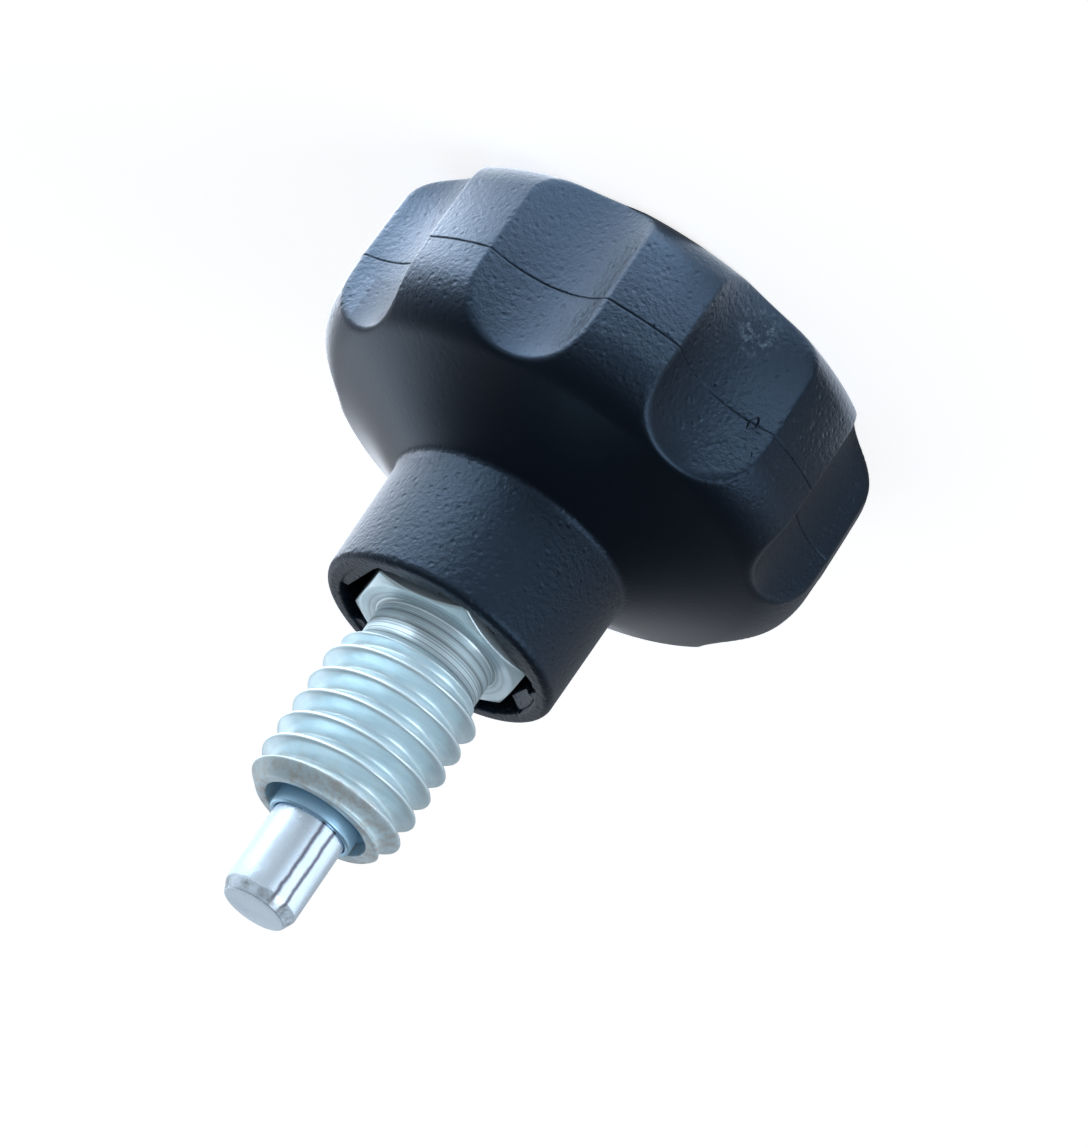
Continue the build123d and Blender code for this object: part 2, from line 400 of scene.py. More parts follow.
def moulded_plastic():
    """Glass-filled nylon, injection moulded: near black, with a bluish sheen. The mould's sides and
    neck are spark-eroded, which leaves a fine grain with scattered pits; the underside is smoother
    and has a satin gloss. The grain is drawn coarser than real, so that it shows in a picture of
    the whole knob."""
    material, tree = new_material("black_moulded_nylon")
    place = add(tree, "ShaderNodeTexCoord").outputs["Object"]
    height = add(tree, "ShaderNodeSeparateXYZ", [(place, "Vector")]).outputs["Z"]
    # The eroded grain covers the side, below the shoulder, and the neck above its root
    on_side = add(
        tree,
        "ShaderNodeMapRange",
        [(height, "Value")],
        interpolation_type="SMOOTHSTEP",
        From_Min=side_grain[0] * MM,
        From_Max=side_grain[1] * MM,
    )
    on_neck = add(
        tree,
        "ShaderNodeMapRange",
        [(from_axis(tree, place), "Value")],
        interpolation_type="SMOOTHSTEP",
        From_Min=neck_grain[0] * MM,
        From_Max=neck_grain[1] * MM,
    )
    grainy = add(
        tree,
        "ShaderNodeMath",
        [(on_side.outputs[0], 0), (on_neck.outputs[0], 1)],
        operation="MAXIMUM",
    )
    grain = add(
        tree,
        "ShaderNodeTexNoise",
        [(place, "Vector")],
        Scale=1 / (grain_size * MM),
        Detail=3.0,
        Roughness=0.6,
    )
    cells = add(tree, "ShaderNodeTexVoronoi", [(place, "Vector")], Scale=1 / (pit_spacing * MM))
    pit = add(
        tree, "ShaderNodeMapRange", [(cells.outputs["Distance"], "Value")], From_Min=0.08, From_Max=0.3
    )
    rise = add(
        tree,
        "ShaderNodeMix",
        [(pit.outputs[0], "A"), (grain.outputs[0], "B")],
        data_type="FLOAT",
        Factor=0.7,
    )
    strength = add(
        tree, "ShaderNodeMapRange", [(grainy.outputs[0], "Value")], To_Min=0.1, To_Max=0.8
    )
    bump = add(
        tree,
        "ShaderNodeBump",
        [(strength.outputs[0], "Strength"), (rise.outputs[0], "Height")],
        Distance=grain_depth * MM,
    )
    rough = add(
        tree, "ShaderNodeMapRange", [(grainy.outputs[0], "Value")], To_Min=0.36, To_Max=0.44
    )
    shade = add(
        tree,
        "ShaderNodeTexNoise",
        [(place, "Vector")],
        Scale=1 / (shade_size * MM),
        Detail=3.0,
        Roughness=0.6,
    )
    colour = add(
        tree,
        "ShaderNodeMix",
        [(shade.outputs[0], "Factor")],
        data_type="RGBA",
        A=linear("#070b12"),
        B=linear("#0d131c"),
    )
    # A knock in one flute, near the head, has scuffed the skin to a broken, paler patch
    centre = [v * MM for v in scuff_centre]
    away = add(tree, "ShaderNodeVectorMath", [(place, 0), (centre, 1)], operation="DISTANCE")
    near = add(
        tree,
        "ShaderNodeMapRange",
        [(away.outputs["Value"], "Value")],
        From_Min=scuff_radius * MM,
        From_Max=0.3 * scuff_radius * MM,
    )
    crumbs = add(
        tree,
        "ShaderNodeTexNoise",
        [(place, "Vector")],
        Scale=1 / (fleck_size * MM),
        Detail=5.0,
        Roughness=0.7,
    )
    flecks = add(
        tree, "ShaderNodeMapRange", [(crumbs.outputs[0], "Value")], From_Min=0.5, From_Max=0.66
    )
    scuffed = add(
        tree,
        "ShaderNodeMath",
        [(near.outputs[0], 0), (flecks.outputs[0], 1)],
        operation="MULTIPLY",
    )
    worn = add(
        tree,
        "ShaderNodeMix",
        [(scuffed.outputs[0], "Factor"), (colour.outputs["Result"], "A")],
        data_type="RGBA",
        B=linear("#5d6a74"),
    )
    skin = add(
        tree,
        "ShaderNodeBsdfPrincipled",
        [
            (worn.outputs["Result"], "Base Color"),
            (rough.outputs[0], "Roughness"),
            (bump.outputs[0], "Normal"),
        ],
        IOR=1.5,
        Specular_Tint=linear("#b0d8ff"),
    )
    add(tree, "ShaderNodeOutputMaterial", [(skin.outputs[0], "Surface")])
    return material


def tool_lines(tree, radius, height, spacing):
    """The tool lines that turning leaves, and how strong they are. They are noise along radius +
    height, so they run round the axis on a face as they do on a side. They are strong in the
    undercut and on what is as slender, weaker on the faces further out, faint from the thread on,
    and gone at the hexagon's sides. Their spacing is coarser than real, so that they show."""
    along = add(tree, "ShaderNodeMath", [(radius, 0), (height, 1)], operation="ADD")
    lines = add(
        tree,
        "ShaderNodeTexNoise",
        [(along.outputs[0], "W")],
        noise_dimensions="1D",
        Scale=1 / (spacing * MM),
        Detail=3.0,
        Roughness=0.7,
    )
    slender = add(
        tree,
        "ShaderNodeMapRange",
        [(radius, "Value")],
        From_Min=(hex_flat - hex_skin) * MM,
        From_Max=(undercut_radius + 0.1) * MM,
    )
    below_thread = add(
        tree,
        "ShaderNodeMapRange",
        [(height, "Value")],
        From_Min=(thread_back + 0.1) * MM,
        From_Max=(thread_back - 0.1) * MM,
        To_Min=0.15,
    )
    strength = add(
        tree,
        "ShaderNodeMath",
        [(slender.outputs[0], 0), (below_thread.outputs[0], 1)],
        operation="MULTIPLY",
    )
    return lines.outputs[0], strength.outputs[0]


def hex_side_shade_share(tree, normal, radius):
    """How far the metal is painted darker, as painted shade, on the hexagon's sides. They are what
    is as far out as its flats and upright."""
    facing = add(tree, "ShaderNodeSeparateXYZ", [(normal, "Vector")]).outputs["Z"]
    upright = add(tree, "ShaderNodeMapRange", [(facing, "Value")], From_Min=0.45, From_Max=0.25)
    share = add(
        tree,
        "ShaderNodeMapRange",
        [(radius, "Value"), (upright.outputs[0], "To Max")],
        From_Min=(hex_flat - 2 * hex_skin) * MM,
        From_Max=(hex_flat - hex_skin) * MM,
    )
    return share.outputs[0]


def reflection_stripe_share(tree, place, most, middle, half_angle):
    """How far two thin dark lines along the axis, painted reflections, cover the metal, up to the
    most. Each lies the half angle to one side of the middle, so the distance to the nearer one is
    | |angle round the axis - middle| - half angle |. Noise makes both sway a little."""
    split = add(tree, "ShaderNodeSeparateXYZ", [(place, "Vector")]).outputs
    angle = add(tree, "ShaderNodeMath", [(split["Y"], 0), (split["X"], 1)], operation="ARCTAN2")
    unsteady = add(
        tree,
        "ShaderNodeTexNoise",
        [(place, "Vector")],
        Scale=1 / (sway_length * MM),
        Detail=3.0,
        Roughness=0.7,
    )
    distance = add(
        tree,
        "ShaderNodeMath",
        [(unsteady.outputs[0], 0), (0.12, 1), (angle.outputs[0], 2)],
        operation="MULTIPLY_ADD",
    )
    for centre in (middle, half_angle):
        offset = add(
            tree, "ShaderNodeMath", [(distance.outputs[0], 0), (centre, 1)], operation="SUBTRACT"
        )
        distance = add(tree, "ShaderNodeMath", [(offset.outputs[0], 0)], operation="ABSOLUTE")
    share = add(
        tree,
        "ShaderNodeMapRange",
        [(distance.outputs[0], "Value"), (most, "To Max")],
        From_Min=0.09,
        From_Max=0.02,
    )
    return share.outputs[0]


def stained_share(tree, place, most, reach):
    """How far a stain covers the metal: in blots, up to the most, and less where it only starts."""
    mottle = add(
        tree,
        "ShaderNodeTexNoise",
        [(place, "Vector")],
        Scale=1 / (blot_size * MM),
        Detail=4.0,
        Roughness=0.7,
    )
    blots = add(
        tree,
        "ShaderNodeMapRange",
        [(mottle.outputs[0], "Value"), (most, "To Max")],
        From_Min=0.45,
        From_Max=0.63,
    )
    share = add(tree, "ShaderNodeMath", [(blots.outputs[0], 0), (reach, 1)], operation="MULTIPLY")
    return share.outputs[0]


def turned_metal(
    name,
    colour,
    tint,
    roughness,
    metallic,
    line_spacing,
    line_depth,
    line_dirt_and_shade,
    cloud,
    stain=None,
    reflection_stripes=None,
):
    """A metal turned from bar. Clouds of the tint and of roughness show how the plating or polish
    varies. Dirt and painted shade darken the tool lines, most in the undercut, and painted shade
    darkens the hexagon's upright sides. The layers of colour lie over the colour in turn, each as
    far as its share goes. A stain is (colour, (height where it starts, height where it is full)),
    and it dulls the metal. Reflection stripes, two painted dark reflections along the axis, are
    (colour, angle of their middle, half the angle between them)."""
    material, tree = new_material(name)
    coordinates = add(tree, "ShaderNodeTexCoord").outputs
    place = coordinates["Object"]
    height = add(tree, "ShaderNodeSeparateXYZ", [(place, "Vector")]).outputs["Z"]
    radius = from_axis(tree, place)
    lines, line_strength = tool_lines(tree, radius, height, line_spacing)
    clouds = add(
        tree,
        "ShaderNodeTexNoise",
        [(place, "Vector")],
        Scale=1 / (cloud * MM),
        Detail=4.0,
        Roughness=0.65,
    )
    deep = add(
        tree, "ShaderNodeMapRange", [(lines, "Value")], From_Min=0.44, From_Max=0.64, To_Max=line_dirt_and_shade
    )
    dirt_and_shade = add(
        tree, "ShaderNodeMath", [(deep.outputs[0], 0), (line_strength, 1)], operation="MULTIPLY"
    )
    marks = add(
        tree,
        "ShaderNodeMapRange",
        [(radius, "Value")],
        From_Min=mark_radii[0] * MM,
        From_Max=mark_radii[1] * MM,
    )
    layers = [
        (clouds.outputs[0], tint),
        # Painted shade on the hexagon's upright sides
        (hex_side_shade_share(tree, coordinates["Normal"], radius), "#9aa9b0"),
        # Dirt and painted shade in the tool lines, strongest in the undercut
        (dirt_and_shade.outputs[0], "#4a5259"),
    ]
    # Painted reflection: two dark stripes along the pin
    if reflection_stripes:
        stripe_colour, middle, half_angle = reflection_stripes
        layers.append((reflection_stripe_share(tree, place, marks.outputs[0], middle, half_angle), stripe_colour))
    if stain:
        stain_colour, (starts, full) = stain
        reach = add(
            tree,
            "ShaderNodeMapRange",
            [(height, "Value")],
            From_Min=starts * MM,
            From_Max=full * MM,
        )
        layers.append((stained_share(tree, place, marks.outputs[0], reach.outputs[0]), stain_colour))
        metallic = add(
            tree,
            "ShaderNodeMapRange",
            [(reach.outputs[0], "Value")],
            To_Min=metallic,
            To_Max=0.35 * metallic,
        ).outputs[0]
    base = linear(colour)
    for share, layer_colour in layers:
        base = add(
            tree,
            "ShaderNodeMix",
            [(share, "Factor"), (base, "A")],
            data_type="RGBA",
            B=linear(layer_colour),
        ).outputs["Result"]
    rough = add(
        tree,
        "ShaderNodeMapRange",
        [(clouds.outputs[0], "Value")],
        From_Min=0.3,
        From_Max=0.7,
        To_Min=roughness * 0.8,
        To_Max=roughness * 1.2,
    )
    bump = add(
        tree,
        "ShaderNodeBump",
        [(lines, "Height"), (line_strength, "Strength")],
        Distance=line_depth * MM,
    )
    skin = add(
        tree,
        "ShaderNodeBsdfPrincipled",
        [
            (base, "Base Color"),
            (metallic, "Metallic"),
            (rough.outputs[0], "Roughness"),
            (bump.outputs[0], "Normal"),
        ],
    )
    add(tree, "ShaderNodeOutputMaterial", [(skin.outputs[0], "Surface")])
    return material


# Pieces


def put(piece, body, slot, material, *nodes):
    """Gives a piece its material and its body, and hides the frame nodes that it stands for. The slot
    is not used.
    """
    piece.data.materials.append(material)
    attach(piece, body)
    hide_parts(*nodes)


def flute_floor(angle):
    """Distance from the axis to the nearest flute's cylinder, along each angle."""
    across = (angle - flute_turn + flute_sector / 2) % flute_sector - flute_sector / 2
    reach = np.clip(flute_radius**2 - (flute_centre * np.sin(across)) ** 2, 0, None)
    return flute_centre * np.cos(across) - np.sqrt(reach)


def knob_outline():
    """The knob's outside from the head's middle to the flat round the neck's mouth."""
    middle_r = (side_radius + neck_root) / 2
    middle_z = (side_height + neck_root_height) / 2
    slope = math.atan2(neck_root_height - side_height, side_radius - neck_root)
    dip = 2 * underside_hollow
    flat_end = head_radius - 3.5  # the head's flat needs only a few rows as far as here
    head = rounded([(0, 0, 0), (flat_end, 0, 0)], step=1.6)
    side = rounded(
        [
            (flat_end, 0, 0),
            (head_radius, 0, head_edge_radius),
            (knob_radius, parting_height, 0),
            (side_radius, side_height, shoulder_radius),
            (middle_r - dip * math.sin(slope), middle_z - dip * math.cos(slope), hollow_rounding),
            (neck_root, neck_root_height, neck_root_radius),
            (neck_mouth, neck_height, neck_mouth_radius),
            (neck_mouth - neck_mouth_radius - 0.1, neck_height, 0),
        ],
        step=0.26,
    )
    # Rows lie close together at the parting line
    line = parting_height + np.array([-0.14, -0.09, -0.05, -0.02, 0.02, 0.05, 0.09, 0.14])
    close = np.stack([knob_radius - np.abs(line - parting_height) * math.tan(side_draft), line], axis=1)
    under = side[side[:, 1] < line[0] - 0.03]
    over = side[side[:, 1] > line[-1] + 0.03]
    return np.concatenate([head, under[1:], close, over])


def make_knob(material):
    """The moulded knob. Its radius at an angle is the smaller of the turned outline's and the
    flutes' cylinders', rounded where they cross; the pocket is a hexagon, drafted downwards."""
    flutes = flute_turn + flute_sector * np.arange(flute_count)
    reliefs = relief_turn + math.tau / relief_count * np.arange(relief_count)
    edges = np.concatenate(
        [
            flutes - flute_half_angle,
            flutes + flute_half_angle,
            reliefs - relief_angle / 2,
            reliefs + relief_angle / 2,
            [land_turn - land_half_angle, land_turn + land_half_angle],
        ]
    )
    angle = crowded(knob_columns, edges, width=math.radians(1.4), gain=4.0)
    outline = knob_outline()
    floor = flute_floor(angle)[None, :]
    r = outline[:, :1] + 0 * floor
    z = outline[:, 1:] + 0 * floor
    fluted = (z < neck_root_height) & (r > flutes_from)
    r = np.where(fluted, soft_least(r, floor, flute_edge), r)
    # The parting line is a fine, uneven nick round the side. The head's half stands a little proud
    # of the other, except near its rounded edge
    from_line = (z - parting_height) / parting_nick_width
    uneven = 1 + 0.45 * wave_noise(angle, seed=5, low=20, high=90, count=12)
    on_side = r > side_from
    proud = np.clip((z - head_edge_radius) / 2, 0, 1)
    r = r - parting_nick_depth * uneven * np.exp(-(from_line**2)) * on_side
    r = r + parting_mismatch * (z < parting_height) * on_side * proud

    def within(turn, half, soft):
        """1 within half the angle to each side of the turn, and 0 outside, with ends that are soft
        over the given degrees."""
        away = np.abs((angle - turn + math.pi) % math.tau - math.pi)
        return np.clip((half - away) / math.radians(soft) + 0.5, 0, 1)[None, :]

    relief = sum(within(turn, relief_angle / 2, 0.5) for turn in reliefs)
    land = within(land_turn, land_half_angle, 0.8)

    def wall(height):
        """The pocket's side at rows of heights: the hexagon's, less the land, or the relief's."""
        flat = hex_flat + pocket_gap - (neck_height - height) * math.tan(pocket_draft)
        side = hexagon(angle, flat, pocket_corner, pocket_turn) - land_inset * land
        return side + np.clip(relief_radius - side, 0, None) * relief

    # The flat round the mouth, with the core pin's step and slit and the land's slope
    mouth = wall(np.full((1, 1), neck_height))
    rings = core_radius + np.array([0.35, 0.15, 0.04, 0, -0.04, -0.15, -0.35, -0.55])
    face = np.concatenate([np.maximum(rings[:, None], mouth + pocket_lip), mouth + pocket_lip])
    inside = np.clip((core_radius - face) / core_step_width + 0.5, 0, 1)
    slope = np.clip(core_radius - face, 0, None) * land_slope * land
    from_slit = (face - core_radius) / core_slit_width
    slit = core_slit_depth * np.exp(-(from_slit**2)) * np.clip(land + relief, 0, 1)
    face_z = neck_height - core_step * inside - slope - slit
    # The pocket's rounded lip, side and floor
    around = np.linspace(0, math.pi / 2, 5)[1:, None]
    lip = mouth + pocket_lip * (1 - np.sin(around))
    lip_z = face_z[-1:] - pocket_lip * (1 - np.cos(around)) + 0 * lip
    side_z = between(lip_z[-1:], np.full((1, 1), pocket_floor), 12)
    side = wall(side_z)
    floor_rows = between(side[-1:], np.full_like(mouth, insert_radius - insert_edge), 6)
    # The recess that the insert fills, with its grooved waist
    groove = pocket_floor - (pocket_floor - insert_bottom) / 2 - insert_groove_width / 2
    waist = insert_radius - insert_groove_depth
    recess = np.array(
        [
            (insert_radius, pocket_floor - insert_edge),
            (insert_radius, groove + insert_groove_width),
            (waist, groove + insert_groove_width),
            (waist, groove),
            (insert_radius, groove),
            (insert_radius, insert_bottom + insert_edge),
            (insert_radius - insert_edge, insert_bottom),
            (0, insert_bottom),
        ]
    )
    level = np.zeros_like(mouth)
    floor_z = pocket_floor + 0 * floor_rows
    r = np.concatenate([r, face, lip, side, floor_rows, recess[:, :1] + level])
    z = np.concatenate([z, face_z, lip_z, side_z, floor_z, recess[:, 1:] + level])
    piece = ring_mesh("moulded_knob", angle, r, z)
    put(piece, "plunger", "black_moulded_plastic", material, "knob")


def thread_surface(angle, z):
    """Distance from the axis to the thread. Its height falls from the crest's flat down a 30
    degree flank to the root, and follows a right-handed helix. A flare behind and a chamfer in
    front cut it off."""
    phase = (z - thread_start) / thread_pitch - angle / math.tau
    away = np.abs((phase + 0.5) % 1 - 0.5) * thread_pitch
    drop = (away - thread_crest / 2) / math.tan(thread_flank)
    drop = -soft_least(-drop, np.zeros_like(drop), thread_rounding)
    drop = soft_least(drop, np.full_like(drop, thread_depth), 2 * thread_rounding)
    flare = undercut_radius + np.clip(z - thread_back, 0, None)
    chamfer = thread_radius - (z - (rim_height - lead_chamfer))
    r = soft_least(thread_radius - drop, flare, run_out_rounding)
    return soft_least(r, chamfer, lead_rounding)


def make_barrel(material):
    """The turned barrel: a tube whose outside is a hexagon with turned-off corners, an undercut
    and a thread. The thread's rows follow the helix, and collapse where it ends."""
    corners = hex_turn + math.pi / 6 + math.pi / 3 * np.arange(6)
    angle = crowded(barrel_columns, corners, width=math.radians(2.2), gain=3.0)
    level = np.zeros((1, len(angle)))
    side = hexagon(angle, hex_flat, hex_corner, hex_turn)[None, :]

    def cone(radius):
        """How far the hexagon's chamfered faces fall away at a radius."""
        return np.clip(radius - hex_flat, 0, None) * math.tan(hex_chamfer)

    def bend(before, corner, after, steps):
        """Rows of a rounded edge: (1-t)^2 before + 2t(1-t) corner + t^2 after."""
        t = np.linspace(0, 1, steps + 1)[1:, None]
        return (1 - t) ** 2 * before + 2 * t * (1 - t) * corner + t**2 * after

    inner = side - hex_edge
    shoulder = np.minimum(hex_flat, inner)
    neck = undercut_radius + level
    root = undercut_radius + undercut_root + level
    back = np.concatenate(
        [
            rod_hole_radius + level,
            between(rod_hole_radius + level, shoulder, 5),
            between(shoulder, inner, 4),
        ]
    )
    r = np.concatenate(
        [
            back,
            bend(inner, side, side, 4),
            between(side, side, 6),
            bend(side, side, inner, 4),
            between(inner, shoulder, 4),
            between(shoulder, root, 6),
            between(root, neck, 1),
            between(neck, neck, 6),
        ]
    )
    low = hex_back + cone(side)
    high = hex_front - cone(side)
    root_z = hex_front + undercut_root + level
    z = np.concatenate(
        [
            hex_back + cone(back),
            bend(hex_back + cone(inner), low, low + hex_edge, 4),
            between(low + hex_edge, high - hex_edge, 6),
            bend(high - hex_edge, high, hex_front - cone(inner), 4),
            hex_front - cone(between(inner, shoulder, 4)),
            hex_front + 0 * between(shoulder, root, 6),
            root_z,
            between(root_z, thread_back + level, 6),
        ]
    )
    # The thread's rows, which rise by one pitch on the way round
    spacing = thread_pitch / thread_rows_a_turn
    count = math.ceil((rim_height - thread_back + thread_pitch) / spacing) + 1
    rise = thread_pitch * angle[None, :] / math.tau
    coil_z = thread_back - thread_pitch + spacing * np.arange(count)[:, None] + rise
    coil_z = np.clip(coil_z, thread_back, rim_height - rim_break_height)
    coil = thread_surface(angle[None, :], coil_z)
    # The bores, from the rim down
    chamber = rounded(
        [
            (mouth_bore_radius + rim_edge + 0.15, rim_height, 0),
            (mouth_bore_radius, rim_height, rim_edge),
            (mouth_bore_radius, bush_seat, 0),
            (chamber_radius, bush_seat, 0),
            (chamber_radius, chamber_floor, 0),
            (rod_hole_radius, chamber_floor, 0),
            (rod_hole_radius, hex_back, 0),
        ],
        step=1.2,
    )
    r = np.concatenate([r, coil, coil[-1:] - rim_break_width, chamber[:, :1] + level])
    z = np.concatenate([z, coil_z, rim_height + level, chamber[:, 1:] + level])
    piece = ring_mesh("threaded_barrel", angle, r, z)
    put(piece, "barrel", "zinc_plated_steel", material, "barrel")


def make_bush(material):
    """The guide bush, turned, with its nose's edges broken."""
    bush_top = rim_height - bush_recess
    outline = rounded(
        [
            (bush_bore_radius, bush_seat, 0),
            (mouth_bore_radius, bush_seat, 0),
            (mouth_bore_radius, bush_top, bush_step_edge),
            (bush_nose_radius, bush_top, bush_bore_edge),
            (bush_nose_radius, bush_nose_top, bush_edge),
            (bush_bore_radius, bush_nose_top, bush_bore_edge),
            (bush_bore_radius, bush_seat, 0),
        ],
        step=0.5,
    )
    piece = turned_mesh("guide_bush_turned", outline)
    put(piece, "barrel", "dark_bush_steel", material, "guide_bush")


def make_pin(material):
    """The plunger pin: tail, rod, collar, guided diameter and tapered end, turned in one."""
    outline = rounded(
        [
            (0, tail_end, 0),
            (tail_radius - tail_chamfer, tail_end, 0),
            (tail_radius, tail_end + tail_chamfer, 0),
            (tail_radius, pocket_floor, 0),
            (rod_radius, pocket_floor, 0),
            (rod_radius, collar_back, 0),
            (collar_radius, collar_back, collar_edge),
            (collar_radius, bush_seat, collar_edge),
            (pin_radius, bush_seat, 0),
            (pin_radius, pin_tip - pin_nose_length, pin_nose_rounding),
            (pin_radius - pin_nose_inset, pin_tip, pin_edge),
            (0, pin_tip, 0),
        ],
        step=0.8,
    )
    piece = turned_mesh("plunger_pin_turned", outline)
    put(piece, "plunger", "ground_steel", material, "plunger_pin")


def make_spring(material):
    """The return spring: a circle of the wire's radius carried along a helix."""
    rise = collar_back - chamber_floor - spring_wire
    t = np.linspace(0, 1, spring_coils * 48 + 1)
    turn = t * math.tau * spring_coils
    centre = np.stack(
        [
            spring_radius * np.cos(turn),
            spring_radius * np.sin(turn),
            chamber_floor + spring_wire / 2 + rise * t,
        ],
        axis=1,
    )
    out = np.stack([np.cos(turn), np.sin(turn), 0 * turn], axis=1)
    radius = np.full(len(t), spring_wire / 2)
    piece = wire_mesh("return_spring", centre, out, radius, sides=16)
    put(piece, "plunger", "spring_wire", material, "spring")
    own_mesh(piece)


# Bits of flash on the parting line, where the mould's halves didn't quite close: the angle in
# degrees, the height, the length, how many half turns each one curls, and its thickness
flash_bits = [
    (-123.4, 6.8, 2.3, 1.45, 0.14),
    (-92.4, 6.56, 0.35, 0.5, 0.06),
    (-95.6, 6.5, 0.3, -0.6, 0.05),
    (-111.8, 6.3, 0.4, 0.4, 0.05),
    (-125.2, 8.4, 0.5, 0.8, 0.06),
    (-58.0, 6.45, 0.3, 0.6, 0.05),
    (141.0, 6.5, 0.5, 0.7, 0.06),
    (31.0, 6.5, 0.4, -0.7, 0.05),
]


def make_flash(material):
    """Slivers of flash, each a thin thread that tapers to both ends. Its path is a circular arc
    that starts on the knob's side and bends outwards and over."""
    for number, (degrees, height, length, curl, thickness) in enumerate(flash_bits):
        angle = math.radians(degrees)
        side = np.array([math.cos(angle), math.sin(angle), 0])
        over = np.array([-math.sin(angle), math.cos(angle), 0])
        t = np.linspace(0, 1, 25)
        bend = curl * math.pi * t
        reach = length / (abs(curl) * math.pi)
        start = side * min(knob_radius, float(flute_floor(np.array([angle]))[0]))
        start = start + np.array([0, 0, height]) - side * flash_root
        # The arc's one way is down and a little outwards, its other along the side and outwards
        centre = (
            start
            + np.outer(reach * np.sin(np.abs(bend)), 0.35 * side - np.array([0, 0, 0.8]))
            + np.outer(reach * (1 - np.cos(bend)), 0.75 * over + 0.45 * side)
        )
        out = np.repeat(side[None, :], len(t), axis=0)
        taper = np.sqrt(np.clip(1 - (2 * t - 1) ** 2, 0, None))
        radius = thickness * taper * 0.5 + flash_end_radius
        piece = wire_mesh(f"flash_bit_{number}", centre, out, radius, sides=8)
        put(piece, "plunger", "black_moulded_plastic", material)


nylon = moulded_plastic()
make_knob(nylon)
make_flash(nylon)

# Zinc plate over turned steel: pale, faintly blue and cloudy, with a stained rim. It is milky
# rather than bright, which a low metallic gives
zinc_plate = turned_metal(
    "zinc_plated_steel",
    "#dff0f4",
    "#c3dde6",
    roughness=0.38,
    metallic=0.52,
    line_spacing=0.2,
    line_depth=0.012,
    line_dirt_and_shade=0.85,
    cloud=1.3,
    stain=("#bfc4c1", rim_stain_heights),
)
make_barrel(zinc_plate)

# Turned steel, pressed in and left as it came off the lathe: bluer and darker than the plate
bush_steel = turned_metal(
    "turned_bush_steel",
    "#b4daf0",
    "#9cc6de",
    roughness=0.36,
    metallic=0.72,
    line_spacing=0.08,
    line_depth=0.003,
    line_dirt_and_shade=0.2,
    cloud=1.0,
)
make_bush(bush_steel)

# Ground and polished steel: the brightest and smoothest, with a worn and dirty end and two dark
# lines along it, which are painted reflections
ground_steel = turned_metal(
    "ground_pin_steel",
    "#e6f5ff",
    "#d4e9f8",
    roughness=0.26,
    metallic=0.82,
    line_spacing=0.05,
    line_depth=0.0015,
    line_dirt_and_shade=0.1,
    cloud=2.0,
    stain=("#6f6c64", tip_stain_heights),
    # Two dark stripes along the pin, painted reflections
    reflection_stripes=("#6a6c7a", stripe_angle, stripe_half_angle),
)
make_pin(ground_steel)

# Hard drawn spring wire: grey, with a soft gloss
spring_steel = turned_metal(
    "drawn_spring_wire",
    "#9a9fa3",
    "#85898d",
    roughness=0.3,
    metallic=1.0,
    line_spacing=0.1,
    line_depth=0.002,
    line_dirt_and_shade=0.2,
    cloud=1.0,
)
make_spring(spring_steel)

# Turned brass, moulded in: yellow, with a plain machined gloss
brass = turned_metal(
    "turned_brass",
    "#c9a25a",
    "#b98f48",
    roughness=0.28,
    metallic=1.0,
    line_spacing=0.08,
    line_depth=0.003,
    line_dirt_and_shade=0.2,
    cloud=1.0,
)
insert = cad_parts["threaded_insert"]
insert.data.materials.clear()
insert.data.materials.append(brass)


# Floor, light and camera

floor_half = 3.0
floor_drop = 0.00002  # below the head, so that the two faces don't coincide
seen_glow = 0.8  # what the camera sees the card give, beyond the light that falls on it
mirrored_glow = 0.2  # the same, for reflections
lamp_colour = "#ecf4ff"
light_aim = Vector((0, 0, 0.018))
panel_height = Vector((0, 0, 0.0001))  # just above the floor

# Panels on the floor beside the part, which its upright sides mirror: the azimuth in degrees, where
# each starts and ends along it, its width across it, and its radiance
floor_panels = [
    ("wide_panel", 25, 0.0163, 0.074, 0.13, 4.5),  # the photograph's strong light from the left
    ("outer_panel", 25, 0.074, 0.35, 0.3, 0.6),  # carries it on outwards, faintly
    ("side_panel", 8, 0.018, 0.09, 0.05, 5.2),  # its brightest part, mirrored nearer the middle
    ("near_panel", -40, 0.012, 0.07, 0.034, 4.8),  # mirrored between that and the middle
    ("far_panel", -155, 0.068, 0.3, 0.3, 1.0),  # a faint light on the dark side
    ("front_panel", -102, 0.019, 0.032, 0.012, 4.4),  # mirrored in the flute that faces the camera
    ("edge_panel", -122, 0.0125, 0.0159, 0.024, 2.3),  # mirrored along the head's rounded edge
]

# Soft lights round the part: the azimuth and elevation in degrees, the distance, the width and
# height, and the strength
soft_lights = [
    ("key", 60, 30, 0.4, 0.2, 0.2, 0.4),  # from behind on the left
    ("front_fill", -140, 18, 0.5, 0.3, 0.3, 1.5),  # from the front on the right
    ("back_card", 88, 22, 0.6, 0.3, 0.2, 0.1),  # from straight behind, faint
]


def white_card():
    """Matt white card. The camera and reflections see a plain glow added to its lit surface, so it
    runs into the white background while it keeps the part's shadow."""
    material, tree = new_material("white_card")
    rays = add(tree, "ShaderNodeLightPath").outputs
    mirrored = add(
        tree, "ShaderNodeMath", [(rays["Is Glossy Ray"], 0), (mirrored_glow, 1)], operation="MULTIPLY"
    )
    glow = add(
        tree,
        "ShaderNodeMath",
        [(rays["Is Camera Ray"], 0), (seen_glow, 1), (mirrored.outputs[0], 2)],
        operation="MULTIPLY_ADD",
    )
    card = add(tree, "ShaderNodeBsdfDiffuse", Color=linear("#cfd1d3"))
    white = add(tree, "ShaderNodeEmission", [(glow.outputs[0], "Strength")], Color=linear("#ffffff"))
    both = add(tree, "ShaderNodeAddShader", [(card.outputs[0], 0), (white.outputs[0], 1)])
    add(tree, "ShaderNodeOutputMaterial", [(both.outputs[0], "Surface")])
    return material


